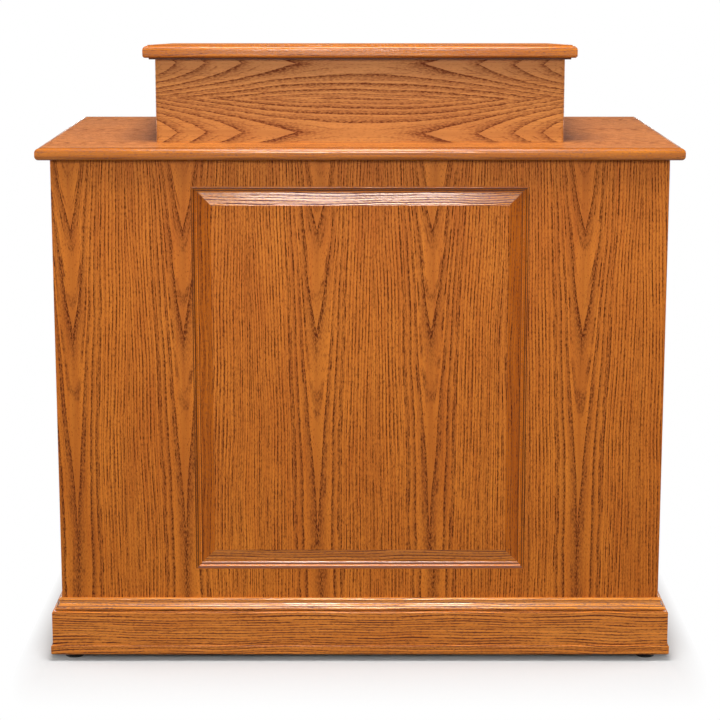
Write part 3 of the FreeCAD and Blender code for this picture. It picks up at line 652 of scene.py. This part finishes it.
def thread(axis_x, axis_y, foot, top):
    """A threaded rod: the outline of one turn, wound up the rod and cut off level."""
    bpy.ops.object.select_all(action="DESELECT")
    bpy.ops.mesh.primitive_plane_add(size=MM, location=(axis_x, axis_y, foot - THREAD_PITCH))
    rod = bpy.context.object
    bpy.ops.object.mode_set(mode="EDIT")
    bpy.ops.mesh.select_all(action="SELECT")
    bpy.ops.mesh.merge(type="CENTER")
    bpy.ops.transform.translate(value=(THREAD_RADIUS - THREAD_DEPTH, 0, 0))
    for out, rise in THREAD_OUTLINE:
        step = (out * THREAD_DEPTH, 0, rise * THREAD_PITCH)
        bpy.ops.mesh.extrude_region_move(TRANSFORM_OT_translate={"value": step})
    bpy.ops.object.mode_set(mode="OBJECT")
    winding = rod.modifiers.new("winding", "SCREW")
    winding.axis = "Z"
    winding.angle = 2 * math.pi
    winding.screw_offset = THREAD_PITCH
    winding.iterations = math.ceil((top - foot) / THREAD_PITCH) + THREAD_SPARE_TURNS
    winding.steps = THREAD_STEPS
    winding.render_steps = THREAD_STEPS
    bpy.ops.object.modifier_apply(modifier=winding.name)
    bpy.ops.object.mode_set(mode="EDIT")
    bpy.ops.mesh.select_all(action="SELECT")
    bpy.ops.mesh.remove_doubles(threshold=MERGE_DISTANCE)
    for level, cut in ((foot, {"clear_inner": True}), (top, {"clear_outer": True})):
        bpy.ops.mesh.select_all(action="SELECT")
        bpy.ops.mesh.bisect(plane_co=(axis_x, axis_y, level), plane_no=(0, 0, 1), use_fill=True,
                            threshold=MERGE_DISTANCE, **cut)
    bpy.ops.mesh.select_all(action="DESELECT")
    bpy.ops.object.mode_set(mode="OBJECT")
    bpy.ops.object.transform_apply(location=True, rotation=True, scale=True)
    for vertex in rod.data.vertices:
        vertex.select = vertex.co.z > top - THREAD_TAPER_LENGTH
    bpy.ops.object.mode_set(mode="EDIT")
    bpy.ops.transform.resize(value=(THREAD_TAPER, THREAD_TAPER, 1),
                             center_override=(axis_x, axis_y, top))
    bpy.ops.object.mode_set(mode="OBJECT")
    return rod


def collar_and_spigot(axis_x, axis_y, foot):
    """The hexagon collar with eased edges, and the round spigot under it."""
    half_side = math.pi / COLLAR_SIDES
    bpy.ops.object.select_all(action="DESELECT")
    bpy.ops.mesh.primitive_cylinder_add(
        vertices=COLLAR_SIDES, radius=COLLAR_FLATS / 2 / math.cos(half_side), depth=COLLAR_HEIGHT,
        location=(axis_x, axis_y, foot + SPIGOT_LENGTH + COLLAR_HEIGHT / 2),
        rotation=(0, 0, half_side))
    collar = bpy.context.object
    ease = collar.modifiers.new("ease", "BEVEL")
    ease.width = COLLAR_EASE
    ease.segments = COLLAR_EASE_STEPS
    bpy.ops.object.modifier_apply(modifier=ease.name)
    bpy.ops.object.select_all(action="DESELECT")
    bpy.ops.mesh.primitive_cylinder_add(
        vertices=SPIGOT_SIDES, radius=SPIGOT_RADIUS, depth=SPIGOT_LENGTH,
        location=(axis_x, axis_y, foot + SPIGOT_LENGTH / 2))
    return collar, bpy.context.object


def levelling_stud(corner):
    """One stud in place of the plain solid in that corner's foot."""
    low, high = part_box("foot_stud_" + corner)
    axis_x, axis_y = (low.x + high.x) / 2, (low.y + high.y) / 2
    collar, spigot = collar_and_spigot(axis_x, axis_y, low.z)
    stud = thread(axis_x, axis_y, low.z + SPIGOT_LENGTH + COLLAR_HEIGHT, high.z)
    bpy.ops.object.select_all(action="DESELECT")
    for piece in (collar, spigot, stud):
        piece.select_set(True)
    bpy.context.view_layer.objects.active = stud
    bpy.ops.object.join()
    bpy.ops.object.transform_apply(location=True, rotation=True, scale=True)
    bpy.ops.object.mode_set(mode="EDIT")
    bpy.ops.mesh.select_all(action="SELECT")
    bpy.ops.mesh.normals_make_consistent(inside=False)
    bpy.ops.object.mode_set(mode="OBJECT")
    bpy.ops.object.shade_smooth_by_angle(angle=SMOOTH_ANGLE)
    stud.name = "threaded_stud_" + corner
    stud.data.materials.clear()
    stud.data.materials.append(steel)
    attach(stud, corner + "_stud")
    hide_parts("foot_stud_" + corner)


for corner in FOOT_CORNERS:
    levelling_stud(corner)


# Stage

def floor_material():
    """Matt white floor: white to the eye, with near the lectern a grey matt that takes real shadows
    and fades into the white as painted shade; grey in the light it throws.
    """
    material, tree = new_material("matt_white_floor")
    rays = add(tree, "ShaderNodeLightPath").outputs
    seen = add(tree, "ShaderNodeMath", [rays["Is Camera Ray"], rays["Is Glossy Ray"]],
               operation="MAXIMUM")
    seen = add(tree, "ShaderNodeMath", [seen, rays["Is Transmission Ray"]], operation="MAXIMUM")
    grey = add(tree, "ShaderNodeBsdfDiffuse", {"Color": linear(FLOOR_GREY)})
    matt = add(tree, "ShaderNodeBsdfDiffuse", {"Color": linear(FLOOR_WHITE)})
    white = add(tree, "ShaderNodeEmission", {"Strength": 1.0})
    place = add(tree, "ShaderNodeTexCoord").outputs["Object"]
    away = add(tree, "ShaderNodeVectorMath", [place], operation="ABSOLUTE")
    away = add(tree, "ShaderNodeVectorMath", [away, FLOOR_SHADE_HALF], operation="SUBTRACT")
    away = add(tree, "ShaderNodeVectorMath", [away, (0, 0, 0)], operation="MAXIMUM")
    away = add(tree, "ShaderNodeVectorMath", [away, FLOOR_SHADE_PACE], operation="MULTIPLY")
    away = add(tree, "ShaderNodeVectorMath", [away], operation="LENGTH").outputs["Value"]
    fade = add(tree, "ShaderNodeMapRange", [away, 0.0, FLOOR_SHADE_FAR, 0.0, 1.0])
    # Painted shade: the grey matt near the lectern, fading to white with distance.
    shown = add(tree, "ShaderNodeMixShader", [fade, matt, white])
    both = add(tree, "ShaderNodeMixShader", [seen, grey, shown])
    add(tree, "ShaderNodeOutputMaterial", {"Surface": both})
    return material


def build_floor():
    """The floor that the lectern stands on."""
    bpy.ops.object.select_all(action="DESELECT")
    bpy.ops.mesh.primitive_plane_add(size=2 * FLOOR_HALF, location=(0, 0, 0))
    floor = bpy.context.object
    floor.name = "floor"
    floor.data.materials.append(floor_material())


def build_room():
    """The room that the lacquer reflects."""
    world = bpy.data.worlds.new("studio_room")
    bpy.context.scene.world = world
    world.use_nodes = True
    tree = world.node_tree
    tree.nodes.clear()
    way = add(tree, "ShaderNodeTexCoord").outputs["Generated"]
    up = add(tree, "ShaderNodeSeparateXYZ", [way]).outputs["Z"]
    level = add(tree, "ShaderNodeMapRange", [up, 0.0, 1.0, ROOM_LEVEL, CEILING_LEVEL])
    horizon = add(tree, "ShaderNodeMapRange", [up, *HORIZON_HEIGHT, 1.0, 0.0])
    level = add(tree, "ShaderNodeMath", [level, horizon], operation="MAXIMUM")
    room = add(tree, "ShaderNodeBackground", {"Color": (1, 1, 1, 1), "Strength": level})
    add(tree, "ShaderNodeOutputWorld", {"Surface": room})


def build_lights():
    """The softboxes, each turned to the point that it faces."""
    for name, (place, target, width, height, watts) in SOFTBOXES.items():
        bpy.ops.object.light_add(type="AREA", location=place)
        softbox = bpy.context.object
        softbox.name = name
        softbox.data.shape = "RECTANGLE"
        softbox.data.size = width
        softbox.data.size_y = height
        softbox.data.energy = watts
        way = Vector(target) - Vector(place)
        softbox.rotation_euler = way.to_track_quat("-Z", "Y").to_euler()


def build_camera():
    """The camera at the photograph's place."""
    tilt = (math.radians(CAMERA_TILT_DEG), 0.0, 0.0)
    bpy.ops.object.camera_add(location=CAMERA_PLACE, rotation=tilt)
    camera = bpy.context.object
    camera.data.lens = CAMERA_LENS_MM
    camera.data.sensor_width = CAMERA_SENSOR_MM
    bpy.context.scene.camera = camera


build_floor()
build_room()
build_lights()
build_camera()
bpy.context.scene.view_settings.view_transform = "Standard"
